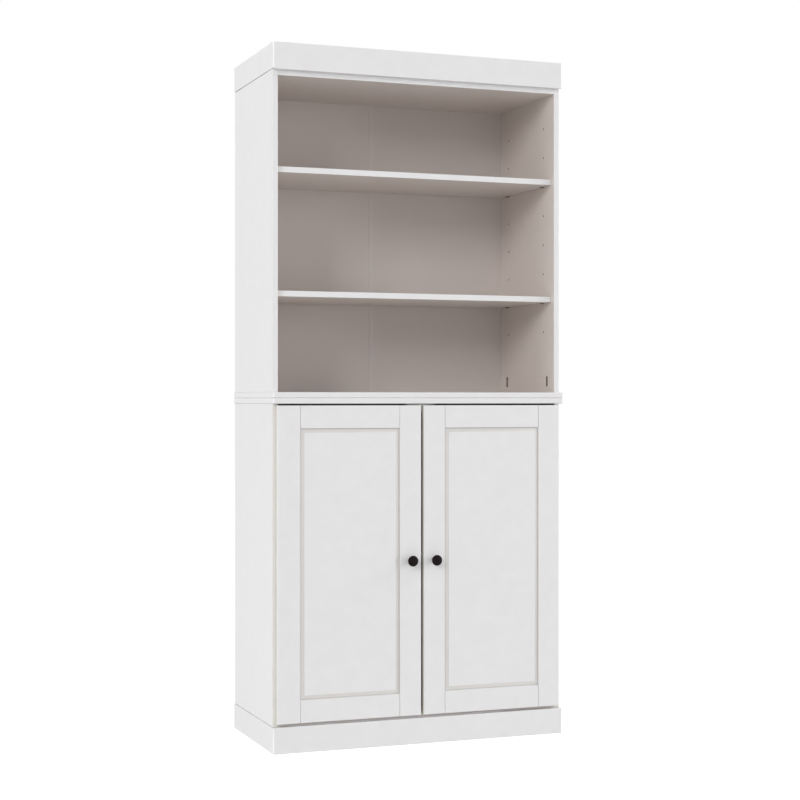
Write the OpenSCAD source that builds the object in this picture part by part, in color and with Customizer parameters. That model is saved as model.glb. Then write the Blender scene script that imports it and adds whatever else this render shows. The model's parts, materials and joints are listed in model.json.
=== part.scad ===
// Two-piece white bookcase: an open hutch with two shelves standing on a two-door cupboard.
// X runs along the width, Y from the front to the back, Z up.
// The origin is the middle of the footprint, on the floor, with the knobs counted in.

/* [Case] */
// Width over the crown and plinth frames
case_w = 819.2; // [700:0.2:1000]
// Depth over the crown and plinth frames
case_d = 383.5; // [320:0.5:450]
// Height of the cupboard unit, plinth and top board included
base_h = 914.4; // [820:0.2:1000]
// Height of the hutch unit, bottom board and crown included
hutch_h = 914.4; // [820:0.2:1000]
// Height of the plinth frame
plinth_h = 68; // [55:1:90]
// Height of the crown frame
crown_h = 68; // [55:1:90]
// Thickness of the solid boards
board_t = 15; // [13.5:0.5:18]
// How far the sides stand in from the ends of the crown and plinth
side_inset = 1.8; // [0.6:0.2:4]
// How far the two waist boards stand out past the ends of the plinth
waist_end = 1.2; // [0.4:0.2:4]
// How far the two waist boards stand out in front of the plinth
waist_front = 4; // [2:0.5:8]
// Rounding of the front edges of the waist boards
waist_r = 3; // [1:0.5:5]
// How far the crown's front board laps down over the hutch
crown_lap = 1.6; // [0.4:0.2:3]
// Side of the square corner blocks inside the crown and plinth
block_w = 30; // [24:1:34]
// Height of the corner blocks
block_h = 40; // [32:1:48]

/* [Back] */
// Thickness of the back panels
back_t = 3.2; // [2.6:0.1:4]
// From the back edges of the sides to the front of the back panels
back_inset = 12; // [9:0.5:16]
// Depth of the grooves that hold the back panels
groove_d = 6; // [4:0.5:8]
// Place of the strip that joins the two halves of each back
joiner_x = -12; // [-30:1:20]
// Width of the joining strip
joiner_w = 10; // [8:0.5:14]
// Nails along one edge of each back
nail_count = 8; // [6:2:10]

/* [Shelves] */
// How far the shelves stand back from the front edges of the sides
shelf_setback = 19; // [8:1:30]
// Radius of a shelf pin
pin_r = 2.5; // [2:0.25:3]
// Depth of a shelf pin hole
pin_depth = 10; // [7:0.5:11]
// Length of a shelf pin that shows under the shelf
pin_out = 9; // [7:0.5:14]
// Height between two shelf pin holes
pin_pitch = 80.4; // [64:0.4:88]
// Height of the lowest shelf pin hole over the board below it
pin_first = 167.6; // [130:0.4:190]
// From the edges of the sides to the rows of shelf pin holes
pin_inset = 68; // [55:1:90]
// Hole that carries the lower hutch shelf, counted from 0
lower_shelf_hole = 1; // [0:1:2]
// Hole that carries the upper hutch shelf
upper_shelf_hole = 5; // [4:1:5]
// Hole that carries the shelf in the cupboard
base_shelf_hole = 3; // [1:1:4]

/* [Doors] */
// Thickness of the door frames
door_t = 16; // [15.5:0.5:20]
// Space between the back of a door and the case
door_stand = 2; // [1.8:0.1:3]
// Strip of the case's edge that shows beside each door
door_reveal = 9.7; // [8:0.1:11]
// Gap over the doors
door_top_gap = 4.4; // [3:0.2:7]
// Gap between the plinth and the doors
door_bottom_gap = 8; // [4:0.5:9]
// Gap between the two doors
door_meet_gap = 7.6; // [4:0.2:12]
// Width of the flat face of a stile
stile_w = 60; // [54:1:80]
// Height of the flat face of a rail
rail_h = 59.5; // [50:0.5:72]
// Width of the bevel round the raised field of a door panel
bevel_w = 11; // [9:0.5:15]
// Depth of the panel's tongue behind the frame's face
tongue_in = 4.2; // [3.6:0.1:5]
// Thickness of the panel's tongue
panel_t = 6; // [4.8:0.1:7]
// Rounding of the doors' outer edges
door_r = 2; // [1.8:0.1:3]

/* [Hinges] */
// From a door's end to the middle of its hinge
hinge_end = 90; // [80:1:130]
// Radius of the hinge cup
cup_r = 17.5; // [17.5:0.25:19]
// Wood left between the cup and the door's edge
cup_in = 3; // [3:0.1:3.4]
// Radius of the hinge pin
hinge_pin_r = 1.5; // [1.2:0.1:1.7]
// Thickness of the steel hinge arm
arm_t = 1.6; // [1.2:0.1:1.8]
// Width of the hinge arm where it leaves the cup
neck_w = 7; // [5:0.5:7.5]
// Thickness of the plate that carries the arm
plate_t = 3; // [2.4:0.1:3.4]

/* [Knobs] */
// Diameter of a knob
knob_d = 28.6; // [24:0.2:36]
// How far a knob stands out from its door
knob_l = 25; // [21:0.5:32]
// Diameter of a knob's neck
knob_neck_d = 12; // [10:0.5:16]

/* [Hidden] */
$fn = 48;

white = "#e6e5e3";
shade = "#d3cec9";
black = "#1d1a19";
steel = "#a9abad";

// Clearances
wood_gap = 1;      // panel or board edge that may swell in its groove
shelf_gap = 0.8;   // each end of a shelf
screw_gap = 0.05;  // round a screw's shank
hole_end = 0.5;    // past a screw's point
head_room = 1;     // round a screw's head in its counterbore
slip = 0.05;       // round a part that slides into a slot
pin_slip = 0.02;   // round a pin pressed into its seat
run = 0.05;        // round the hinge pin, inside the arm's eye
cut = 1;           // how far a cutter runs past the face it opens

// Case, from front to back
depth = case_d - board_t + door_stand + door_t + knob_l;
back_y = depth / 2;
frame_y = back_y - case_d;        // front face of the crown and plinth
case_y = frame_y + board_t;       // front edges of the sides
panel_y = back_y - back_inset;    // front face of the back panels
door_back = case_y - door_stand;
door_front = door_back - door_t;

// Case, from side to side
frame_x = case_w / 2;
side_out = frame_x - side_inset;
side_in = side_out - board_t;
side_mid = (side_in + side_out) / 2;
waist_x = frame_x + waist_end;

// Case, from the floor up
base_floor = plinth_h + board_t;           // top of the cupboard's bottom board
base_roof = base_h - board_t;              // underside of the cupboard's top board
hutch_floor = base_h + board_t;            // top of the hutch's bottom board
crown_z = base_h + hutch_h - crown_h;      // top of the hutch's sides
hutch_roof = crown_z - board_t;            // underside of the hutch's top board

// Screws: one size for the case, one for the fittings
case_screw_r = 2;
case_head_r = 4;
case_head_t = 2.5;
case_grip = 17;    // wood under the head
case_bite = 11;    // thread in the next piece
small_r = 1.5;
small_head_r = 3.2;
small_head_t = 1.8;
small_l = 11;
stack_r = 2.5;
stack_head_r = 6;
stack_head_t = 2.5;
stack_skin = 2.5;      // wood left over the screw's point
stack_bite = board_t - stack_skin;
stack_inset = 60;

// Slots in the boards that take the case screws
pocket_w = 10.5;
pocket_l = 29;
pocket_wall = 4.6;   // depth of the slot past the screw's axis
pocket_inset = 45;
pocket_ys = [case_y + pocket_inset, panel_y - pocket_inset];

// Nails in the back panels
nail_r = 0.8;
nail_head_r = 2;
nail_head_t = 0.8;
nail_l = 16;
nail_inset = 42;
nail_span = 2 * (side_in - nail_inset);

// Joining strip of the back panels
web_t = 1.2;
flange_t = 1;

// Rows of shelf pin holes
top_clear = 78;
pin_ys = [case_y + pin_inset, back_y - pin_inset];
function pin_rows(clear) = floor((clear - pin_first - top_clear) / pin_pitch);
base_rows = pin_rows(base_roof - base_floor);
hutch_rows = pin_rows(hutch_roof - hutch_floor);
function base_pin_z(i) = base_floor + pin_first + i * pin_pitch;
function hutch_pin_z(i) = hutch_floor + pin_first + i * pin_pitch;
tongue_w = 11;
tongue_t = 2.2;

// Doors, each drawn with its hinge edge at x = 0
door_out = side_out - door_reveal;
door_w = door_out - door_meet_gap / 2;
door_z0 = plinth_h + door_bottom_gap;
door_z1 = base_roof - door_top_gap;
door_h = door_z1 - door_z0;
frame_z0 = door_z0 + rail_h;  // inside of the door frame
frame_z1 = door_z1 - rail_h;
field_in = 0.8;       // depth of the panel's raised field
field_step = 1.2;     // upright step round the field
bevel_foot = 1.5;     // strip of the tongue that shows beside the frame
panel_hold = 8;       // depth of the groove round the panel
tenon_l = 8;
tenon_t = 6;
tenon_shoulder = 12;
knob_z = (door_z0 + door_z1) / 2;
knob_x = door_w - stile_w / 2;
knob_screw_r = 2;
knob_head_r = 4;
knob_head_t = 2.2;
knob_thread = 11;
knob_foot = 1.5;      // ring at the knob's foot
knob_flare_y = 7.5;   // where the neck starts to widen
knob_rim_y = 18.5;    // where the knob is widest
knob_lip = 1.2;       // step under the widest place
knob_lip_t = 1.5;
knob_edge = 0.4;      // fullness of the dome at its edge

// Hinges, drawn round the pin: x into the door, y to the back
pivot_in = 7;         // from the door's edge
pivot_back = 10.3;    // from the door's back face
cup_wall = 1;
cup_bore = 13;        // depth inside the cup
cup_lip = 1;          // flange on the door's back
cup_x = cup_in + cup_r - pivot_in;
cup_screw_in = 9.5;   // from the cup's middle into the door
wing_start = 3;       // where the wings leave the cup's middle
wing_edge = 5;        // steel round a cup screw
cup_screw_x = cup_x + cup_screw_in;
cup_screw_z = cup_r + wing_edge;
wing_x0 = cup_x + wing_start;
wing_x1 = cup_screw_x + wing_edge;
wing_z = cup_screw_z + wing_edge;
eye_r = 2.4;
arc_r = 14;
neck_angle = -2;
plate_x = pivot_in + side_in - door_out;      // the side's inner face, seen from the pin
leg_x = plate_x + plate_t + arm_t / 2;
leg_angle = acos(leg_x / arc_r);
leg_lap = 0.4;        // overlap of the leg and the curl
case_from_pin = pivot_back + door_stand;
leg_in = 58;          // from the case's front edge to the arm's end
leg_w = 12;
plate_in = 20;        // from the case's front edge to the plate
plate_screw_in = 37;  // and to the plate's screws
plate_screw_z = 16;
plate_ear = 6;        // steel round a plate screw
arm_screw_end = 8;    // from the arm's screw to its end
leg_end = case_from_pin + leg_in;
plate_y0 = case_from_pin + plate_in;
plate_screw_y = case_from_pin + plate_screw_in;
arm_screw_y = leg_end - arm_screw_end;
hinge_zs = [door_z0 + hinge_end, door_z1 - hinge_end];

// Magnetic catch, bumpers and strike plates
strike_w = 15;
strike_t = 1;
strike_up = 6;       // plate above and below the magnet's middle
strike_down = 19;
strike_screw_down = 13.5;
strike_drop = 9;     // from the door's top edge to the magnet's middle
strike_in = 16;      // from the door's meeting edge to the magnet's middle
strike_x = door_w - strike_in;
catch_x = door_out - strike_x;       // from the middle of the case
catch_z = door_z1 - strike_drop;
catch_d = 14;
catch_wall = 3;      // plastic beside a magnet
ear_w = 12;
ear_t = 3;
magnet_w = 12;
magnet_h = 7;
magnet_d = 6;
magnet_out = 0.6;
magnet_y = door_back + strike_t;
catch_half = catch_x + magnet_w / 2 + catch_wall;
bumper_r = 3;
bumper_in = 16;      // from the door's meeting edge to a bumper
bumper_x = door_meet_gap / 2 + bumper_in;
bumper_z = (door_z0 + base_floor) / 2;

// Wall bracket in the crown, against the back rail
rail_y = back_y - board_t;
bracket_w = 120;
bracket_t = 2;
bracket_h = 36;
bracket_d = 26;
wall_hole_r = 2.75;
wall_hole_x = 40;
wall_hole_up = 21;
wall_hole_z = crown_z + wall_hole_up;
bracket_screw_x = 20;

// ---------------------------------------------------------------- shapes

// Rectangle with rounded corners
module eased(w, h, r) {
    translate([r, 0]) square([w - 2 * r, h]);
    translate([0, r]) square([w, h - 2 * r]);
    for (x = [r, w - r], y = [r, h - r]) translate([x, y]) circle(r);
}

// Cross-section of a board whose front edge is rounded
module nosed(d, t, r) {
    translate([r, 0]) square([d - r, t]);
    translate([0, r]) square([d, t - 2 * r]);
    for (y = [r, t - r]) translate([r, y]) circle(r);
}

module block(x0, x1, y0, y1, z0, z1) {
    translate([x0, y0, z0]) cube([x1 - x0, y1 - y0, z1 - z0]);
}

// Round rod along Y from y0 to y1
module rod_y(r, y0, y1) {
    translate([0, y0, 0]) rotate([-90, 0, 0]) cylinder(r = r, h = y1 - y0);
}

// Round rod along X from x0 to x1
module rod_x(r, x0, x1) {
    translate([x0, 0, 0]) rotate([0, 90, 0]) cylinder(r = r, h = x1 - x0);
}

module both_ends() {
    children();
    mirror([1, 0, 0]) children();
}

// ---------------------------------------------------------------- fasteners

// Case screw: z = 0 is the joint, the head lies at +z and the point at -z
module case_screw() {
    translate([0, 0, -case_bite]) cylinder(r = case_screw_r, h = case_bite + case_grip);
    translate([0, 0, case_grip]) cylinder(r = case_head_r, h = case_head_t);
}

module case_screw_hole() {
    translate([0, 0, -case_bite - hole_end])
        cylinder(r = case_screw_r + screw_gap, h = case_bite + case_grip + hole_end + cut);
}

// Slot that opens towards +x, over a case screw
module pocket() {
    mid = case_grip + pocket_l - pocket_w / 2;
    block(-pocket_wall, board_t, -pocket_w / 2, pocket_w / 2, case_grip, mid);
    translate([0, 0, mid]) rod_x(pocket_w / 2, -pocket_wall, board_t);
}

// Small screw: z = 0 is the face under its head, the point lies at -z
module small_screw() {
    translate([0, 0, -small_l]) cylinder(r = small_r, h = small_l);
    cylinder(r = small_head_r, h = small_head_t);
}

module small_hole() {
    translate([0, 0, -small_l - hole_end])
        cylinder(r = small_r + screw_gap, h = small_l + hole_end + cut);
}

// Places of the case screws; each module below serves the left half of the case
module hutch_side_pockets() {
    for (y = pocket_ys) translate([-side_mid, y, hutch_floor]) children();
}

module base_side_pockets() {
    for (y = pocket_ys) translate([-side_mid, y, base_roof]) mirror([0, 0, 1]) children();
}

module hutch_top_pockets() {
    for (y = pocket_ys)
        translate([-side_in, y, crown_z - board_t / 2]) mirror([0, 0, 1]) rotate([0, 90, 0]) children();
}

module base_floor_pockets() {
    for (y = pocket_ys) translate([-side_in, y, plinth_h + board_t / 2]) rotate([0, 90, 0]) children();
}

module block_places() {
    for (y = [case_y + block_w / 2, rail_y - block_w / 2])
        translate([board_t + block_w / 2 - frame_x, y, 0]) children();
}

module plinth_blocks() {
    block_places() translate([0, 0, plinth_h]) mirror([0, 0, 1]) children();
}

module crown_blocks() {
    block_places() translate([0, 0, crown_z]) children();
}

module stacking_places() {
    for (y = [case_y + stack_inset, panel_y - stack_inset])
        translate([stack_inset - side_in, y, base_roof]) children();
}

// Nail places, with the nail's head at y = 0 behind the panel
module nail_row(z) {
    for (i = [0 : nail_count - 1])
        translate([-nail_span / 2 + i * nail_span / (nail_count - 1), panel_y + back_t, z]) children();
}

module base_nails() { nail_row(plinth_h + board_t / 2) children(); }

module hutch_nails() { nail_row(crown_z - board_t / 2) children(); }

module nail_hole() { rod_y(nail_r + screw_gap, -nail_l - hole_end, cut); }

// ---------------------------------------------------------------- crown and plinth

// Front board of a frame, mitred at both ends
module frame_front(z0, z1) {
    translate([0, 0, z0]) linear_extrude(z1 - z0)
        polygon([[-frame_x, frame_y], [frame_x, frame_y],
                 [frame_x - board_t, case_y], [board_t - frame_x, case_y]]);
}

// Left return of a frame, mitred at its front end
module frame_return(z0, z1) {
    translate([0, 0, z0]) linear_extrude(z1 - z0)
        polygon([[-frame_x, frame_y], [board_t - frame_x, case_y],
                 [board_t - frame_x, back_y], [-frame_x, back_y]]);
}

module frame_rail(z0, z1) {
    block(board_t - frame_x, frame_x - board_t, rail_y, back_y, z0, z1);
}

module plinth_front() { color(white) frame_front(0, plinth_h); }

module plinth_left_return() { color(white) frame_return(0, plinth_h); }

module plinth_right_return() { color(white) mirror([1, 0, 0]) frame_return(0, plinth_h); }

module plinth_back_rail() { color(white) frame_rail(0, plinth_h); }

module crown_front() { color(white) frame_front(crown_z - crown_lap, crown_z + crown_h); }

module crown_left_return() { color(white) frame_return(crown_z, crown_z + crown_h); }

module crown_right_return() { color(white) mirror([1, 0, 0]) frame_return(crown_z, crown_z + crown_h); }

module crown_back_rail() {
    color(white) difference() {
        frame_rail(crown_z, crown_z + crown_h);
        for (x = [-wall_hole_x, wall_hole_x])
            translate([x, 0, wall_hole_z]) rod_y(wall_hole_r, rail_y - cut, back_y + cut);
    }
}

// One corner block, standing on the board that its screw enters
module corner_block() {
    difference() {
        block(-block_w / 2, block_w / 2, -block_w / 2, block_w / 2, 0, block_h);
        case_screw_hole();
        translate([0, 0, case_grip]) cylinder(r = case_head_r + head_room, h = block_h);
    }
}

module corner_blocks() {
    color(shade) both_ends() {
        plinth_blocks() corner_block();
        crown_blocks() corner_block();
    }
}

// ---------------------------------------------------------------- case boards

// Left side panel, with the groove for the back and two rows of shelf pin holes
module side_panel(z0, z1, first_z, rows) {
    difference() {
        block(-side_out, -side_in, case_y, back_y, z0, z1);
        block(-side_in - groove_d, cut - side_in, panel_y - slip, panel_y + back_t + slip,
              z0 - cut, z1 + cut);
        for (i = [0 : rows], y = pin_ys)
            translate([0, y, first_z + i * pin_pitch])
                rod_x(pin_r + pin_slip, -side_in - pin_depth, cut - side_in);
    }
}

module base_side() {
    difference() {
        side_panel(plinth_h, base_roof, base_pin_z(0), base_rows);
        base_side_pockets() { pocket(); case_screw_hole(); }
        base_floor_pockets() case_screw_hole();
        hinge_places() {
            fitting_screws() small_hole();
            arm_screws() small_hole();
        }
    }
}

module base_left_side() { color(white) base_side(); }

module base_right_side() { color(white) mirror([1, 0, 0]) base_side(); }

module hutch_side() {
    difference() {
        side_panel(hutch_floor, crown_z, hutch_pin_z(0), hutch_rows);
        hutch_side_pockets() { pocket(); case_screw_hole(); }
        hutch_top_pockets() case_screw_hole();
    }
}

module hutch_left_side() { color(white) hutch_side(); }

module hutch_right_side() { color(white) mirror([1, 0, 0]) hutch_side(); }

// Board that spans between the sides and stops at the back panel
module between_board(z0, y0, y1, x) { block(-x, x, y0, y1, z0, z0 + board_t); }

module base_bottom_board() {
    color(white) difference() {
        between_board(plinth_h, case_y, panel_y, side_in);
        both_ends() {
            base_floor_pockets() { pocket(); case_screw_hole(); }
            plinth_blocks() case_screw_hole();
        }
        base_nails() nail_hole();
    }
}

module hutch_top_board() {
    color(white) difference() {
        between_board(hutch_roof, case_y, panel_y, side_in);
        both_ends() {
            hutch_top_pockets() { pocket(); case_screw_hole(); }
            crown_blocks() case_screw_hole();
        }
        hutch_nails() nail_hole();
        bracket_screws() small_hole();
    }
}

// Full-width board at the waist, rounded along its front
module waist_board(z0) {
    translate([-waist_x, frame_y - waist_front, z0]) rotate([90, 0, 90])
        linear_extrude(2 * waist_x) nosed(case_d + waist_front, board_t, waist_r);
}

// Groove in a waist board for the edges of the back panels
module waist_groove(z0, z1) {
    block(-side_in - groove_d, side_in + groove_d, panel_y - slip, panel_y + back_t + slip, z0, z1);
}

module base_top_board() {
    color(white) difference() {
        waist_board(base_roof);
        waist_groove(base_roof - cut, base_roof + groove_d);
        both_ends() {
            base_side_pockets() case_screw_hole();
            stacking_places() cylinder(r = stack_r + screw_gap, h = 3 * board_t, center = true);
        }
        catch_screws() small_hole();
    }
}

module hutch_bottom_board() {
    color(white) difference() {
        waist_board(base_h);
        waist_groove(hutch_floor - groove_d, hutch_floor + cut);
        both_ends() {
            hutch_side_pockets() case_screw_hole();
            stacking_places() cylinder(r = stack_r + screw_gap, h = board_t + stack_bite + hole_end);
        }
    }
}

module shelf(z) {
    between_board(z, case_y + shelf_setback, panel_y - flange_t - wood_gap / 2, side_in - shelf_gap);
}

module base_shelf() { color(white) shelf(base_pin_z(base_shelf_hole)); }

module lower_hutch_shelf() { color(white) shelf(hutch_pin_z(lower_shelf_hole)); }

module upper_hutch_shelf() { color(white) shelf(hutch_pin_z(upper_shelf_hole)); }

// ---------------------------------------------------------------- back

// Half of a back: x0 and x1 are its edges
module back_half(x0, x1, z0, z1) { block(x0, x1, panel_y, panel_y + back_t, z0, z1); }

back_edge = side_in + groove_d - wood_gap;
joint_gap = web_t / 2 + slip;

module base_back(x0, x1) {
    color(shade) difference() {
        back_half(x0, x1, plinth_h, base_roof + groove_d - wood_gap);
        base_nails() nail_hole();
    }
}

module base_back_left() { base_back(-back_edge, joiner_x - joint_gap); }

module base_back_right() { base_back(joiner_x + joint_gap, back_edge); }

module hutch_back(x0, x1) {
    color(shade) difference() {
        back_half(x0, x1, hutch_floor - groove_d + wood_gap, crown_z);
        hutch_nails() nail_hole();
    }
}

module hutch_back_left() { hutch_back(-back_edge, joiner_x - joint_gap); }

module hutch_back_right() { hutch_back(joiner_x + joint_gap, back_edge); }

// Strip with an H section that slides over the edges of both halves
module joiner(z0, z1) {
    color(shade) {
        block(joiner_x - web_t / 2, joiner_x + web_t / 2, panel_y - slip, panel_y + back_t + slip, z0, z1);
        for (y = [panel_y - slip - flange_t, panel_y + back_t + slip])
            block(joiner_x - joiner_w / 2, joiner_x + joiner_w / 2, y, y + flange_t, z0, z1);
    }
}

module base_back_joiner() { joiner(base_floor, base_roof); }

module hutch_back_joiner() { joiner(hutch_floor, hutch_roof); }

// ---------------------------------------------------------------- pins, screws and nails

// Shelf pin on the left side: a peg in its hole and a flat tongue under the shelf
module shelf_pin() {
    difference() {
        rod_x(pin_r, -side_in - pin_depth + hole_end, pin_out - side_in);
        block(-side_in, pin_out + cut - side_in, -pin_r - cut, pin_r + cut, 0, pin_r + cut);
    }
    block(-side_in, pin_out - side_in, -tongue_w / 2, tongue_w / 2, -tongue_t, 0);
}

module shelf_pins() {
    color(black) both_ends() for (y = pin_ys,
            z = [base_pin_z(base_shelf_hole), hutch_pin_z(lower_shelf_hole), hutch_pin_z(upper_shelf_hole)])
        translate([0, y, z]) shelf_pin();
}

module case_screws() {
    color(steel) both_ends() {
        hutch_side_pockets() case_screw();
        base_side_pockets() case_screw();
        hutch_top_pockets() case_screw();
        base_floor_pockets() case_screw();
        plinth_blocks() case_screw();
        crown_blocks() case_screw();
    }
}

module stacking_screws() {
    color(steel) both_ends() stacking_places() {
        cylinder(r = stack_r, h = board_t + stack_bite);
        translate([0, 0, -stack_head_t]) cylinder(r = stack_head_r, h = stack_head_t);
    }
}

module nail() {
    rod_y(nail_r, -nail_l, 0);
    rod_y(nail_head_r, 0, nail_head_t);
}

module back_nails() {
    color(steel) {
        base_nails() nail();
        hutch_nails() nail();
    }
}

// ---------------------------------------------------------------- fittings on the case

module bracket_screws() {
    for (x = [-bracket_screw_x, bracket_screw_x])
        translate([x, rail_y - bracket_d / 2 - bracket_t, crown_z + bracket_t]) children();
}

module wall_bracket() {
    color(steel) difference() {
        union() {
            block(-bracket_w / 2, bracket_w / 2, rail_y - bracket_t, rail_y, crown_z, crown_z + bracket_h);
            block(-bracket_w / 2, bracket_w / 2, rail_y - bracket_d, rail_y, crown_z, crown_z + bracket_t);
        }
        for (x = [-wall_hole_x, wall_hole_x])
            translate([x, 0, wall_hole_z]) rod_y(wall_hole_r, rail_y - bracket_t - cut, rail_y + cut);
        bracket_screws() small_hole();
    }
}

module catch_screws() {
    for (x = [-1, 1])
        translate([x * (catch_half + ear_w / 2), magnet_y + magnet_out + catch_d / 2, base_roof - ear_t])
            mirror([0, 0, 1]) children();
}

module magnet_places() {
    for (x = [-catch_x, catch_x]) translate([x, magnet_y, catch_z]) children();
}

module magnet(grow) {
    block(-magnet_w / 2 - grow, magnet_w / 2 + grow, -grow, magnet_d + grow,
          -magnet_h / 2 - grow, magnet_h / 2 + grow);
}

module magnetic_catch() {
    y0 = magnet_y + magnet_out;
    color(white) difference() {
        union() {
            block(-catch_half, catch_half, y0, y0 + catch_d, catch_z - magnet_h, base_roof);
            block(-catch_half - ear_w, catch_half + ear_w, y0, y0 + catch_d, base_roof - ear_t, base_roof);
        }
        magnet_places() magnet(slip);
        catch_screws() small_hole();
    }
}

module catch_magnets() { color(black) magnet_places() magnet(0); }

module door_bumpers() {
    color(shade) for (x = [-bumper_x, bumper_x])
        translate([x, 0, bumper_z]) rod_y(bumper_r, door_back, case_y);
}

// ---------------------------------------------------------------- hinges

// Left door's pin axes; x into the door, y to the back
module hinge_places() {
    for (z = hinge_zs) translate([pivot_in - door_out, door_back - pivot_back, z]) children();
}

// Screws through a hinge plate, with z along the way out of the case's side
module fitting_screws() {
    for (z = [-plate_screw_z, plate_screw_z])
        translate([plate_x + plate_t, plate_screw_y, z]) rotate([0, 90, 0]) children();
}

module arm_screws() {
    translate([leg_x + arm_t / 2, arm_screw_y, 0]) rotate([0, 90, 0]) children();
}

// Steel arm: an eye round the pin, a neck that curls round the door's corner, and a leg on the plate
module hinge_arm() {
    difference() {
        union() {
            cylinder(r = eye_r, h = neck_w, center = true);
            rotate([0, 0, neck_angle]) {
                block(0, arc_r, -arm_t / 2, arm_t / 2, -neck_w / 2, neck_w / 2);
                rotate_extrude(angle = leg_angle - neck_angle)
                    translate([arc_r - arm_t / 2, -neck_w / 2]) square([arm_t, neck_w]);
            }
            block(leg_x - arm_t / 2, leg_x + arm_t / 2, arc_r * sin(leg_angle) - leg_lap, plate_y0,
                  -neck_w / 2, neck_w / 2);
            block(leg_x - arm_t / 2, leg_x + arm_t / 2, plate_y0, leg_end, -leg_w / 2, leg_w / 2);
        }
        cylinder(r = hinge_pin_r + run, h = neck_w + 2 * cut, center = true);
        arm_screws() small_hole();
    }
}

// Cross-shaped plate screwed to the case's side
module hinge_plate() {
    difference() {
        union() {
            block(plate_x, plate_x + plate_t, plate_y0, leg_end, -leg_w / 2, leg_w / 2);
            block(plate_x, plate_x + plate_t, plate_screw_y - plate_ear, plate_screw_y + plate_ear,
                  -plate_screw_z - plate_ear, plate_screw_z + plate_ear);
        }
        fitting_screws() small_hole();
        arm_screws() small_hole();
    }
}

// Cup let into the door, with a flange on the door's back
module hinge_cup() {
    floor_y = pivot_back - cup_bore - cup_wall;
    difference() {
        union() {
            translate([cup_x, 0, 0]) rod_y(cup_r, floor_y, pivot_back + cup_lip);
            block(wing_x0, wing_x1, pivot_back, pivot_back + cup_lip, -wing_z, wing_z);
        }
        translate([cup_x, 0, 0]) rod_y(cup_r - cup_wall, floor_y + cup_wall, pivot_back + cup_lip + cut);
        cylinder(r = hinge_pin_r + pin_slip, h = 2 * cup_r, center = true);
        cup_screws() small_hole();
    }
}

module cup_screws() {
    for (z = [-cup_screw_z, cup_screw_z])
        translate([cup_screw_x, pivot_back + cup_lip, z]) rotate([-90, 0, 0]) children();
}

module left_hinge_arms() { color(steel) hinge_places() hinge_arm(); }

module right_hinge_arms() { mirror([1, 0, 0]) left_hinge_arms(); }

module hinge_plates() { color(steel) both_ends() hinge_places() hinge_plate(); }

module left_hinge_cups() { color(steel) hinge_places() hinge_cup(); }

module right_hinge_cups() { mirror([1, 0, 0]) left_hinge_cups(); }

// Pin across the cup, its ends flush with the cup's wall
module hinge_pin() {
    intersection() {
        cylinder(r = hinge_pin_r, h = 2 * cup_r, center = true);
        translate([cup_x, 0, 0]) rod_y(cup_r, -cup_r, cup_r);
    }
}

module left_hinge_pins() { color(steel) hinge_places() hinge_pin(); }

module right_hinge_pins() { mirror([1, 0, 0]) left_hinge_pins(); }

module hardware_screws() {
    color(steel) {
        both_ends() hinge_places() {
            fitting_screws() small_screw();
            arm_screws() small_screw();
        }
        catch_screws() small_screw();
        bracket_screws() small_screw();
    }
}

// ---------------------------------------------------------------- doors

module on_left() { translate([-door_out, 0, 0]) children(); }

module on_right() { mirror([1, 0, 0]) on_left() children(); }

// The whole door's outline with its outer edges rounded
module door_outline() {
    intersection() {
        translate([0, door_front, door_z0]) linear_extrude(door_h) eased(door_w, door_t, door_r);
        translate([0, door_front, door_z0]) rotate([90, 0, 90])
            linear_extrude(door_w) eased(door_t, door_h, door_r);
    }
}

// Stub tenon of a rail, or with grow the mortise that takes it, at the stile at x = 0
module tenon(z0, z1, grow) {
    block(stile_w - tenon_l - grow, stile_w + cut, door_front + tongue_in - grow,
          door_front + tongue_in + tenon_t + grow, z0 + tenon_shoulder - grow, z1 - tenon_shoulder + grow);
}

// Groove for the panel's tongue
module panel_groove(x0, x1, z0, z1) {
    block(x0, x1, door_front + tongue_in, door_front + tongue_in + panel_t + 2 * slip, z0, z1);
}

module stile() {
    difference() {
        intersection() {
            door_outline();
            block(0, stile_w, door_front, door_back, door_z0, door_z1);
        }
        panel_groove(stile_w - panel_hold, stile_w + cut, frame_z0 - panel_hold, frame_z1 + panel_hold);
        tenon(door_z0, frame_z0, slip);
        tenon(frame_z1, door_z1, slip);
    }
}

module flip_door() { translate([door_w, 0, 0]) mirror([1, 0, 0]) children(); }

module door_hinge_places() { translate([door_out, 0, 0]) hinge_places() children(); }

module hinge_stile() {
    difference() {
        stile();
        door_hinge_places() {
            translate([cup_x, 0, 0])
                rod_y(cup_r + slip, pivot_back - cup_bore - cup_wall, pivot_back + cut);
            cup_screws() small_hole();
        }
    }
}

module knob_place() { translate([knob_x, 0, knob_z]) children(); }

module strike_screw() {
    translate([strike_x, door_back + strike_t, catch_z - strike_screw_down])
        rotate([-90, 0, 0]) children();
}

module meeting_stile() {
    difference() {
        flip_door() stile();
        knob_place() rod_y(knob_screw_r + screw_gap, door_front - cut, door_back + cut);
        strike_screw() small_hole();
    }
}

module top_rail() {
    difference() {
        intersection() {
            door_outline();
            block(stile_w, door_w - stile_w, door_front, door_back, frame_z1, door_z1);
        }
        panel_groove(stile_w - cut, door_w - stile_w + cut, frame_z1 - cut, frame_z1 + panel_hold);
    }
    tenon(frame_z1, door_z1, 0);
    flip_door() tenon(frame_z1, door_z1, 0);
}

module bottom_rail() {
    translate([0, 0, door_z0 + door_z1]) mirror([0, 0, 1]) top_rail();
}

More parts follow.
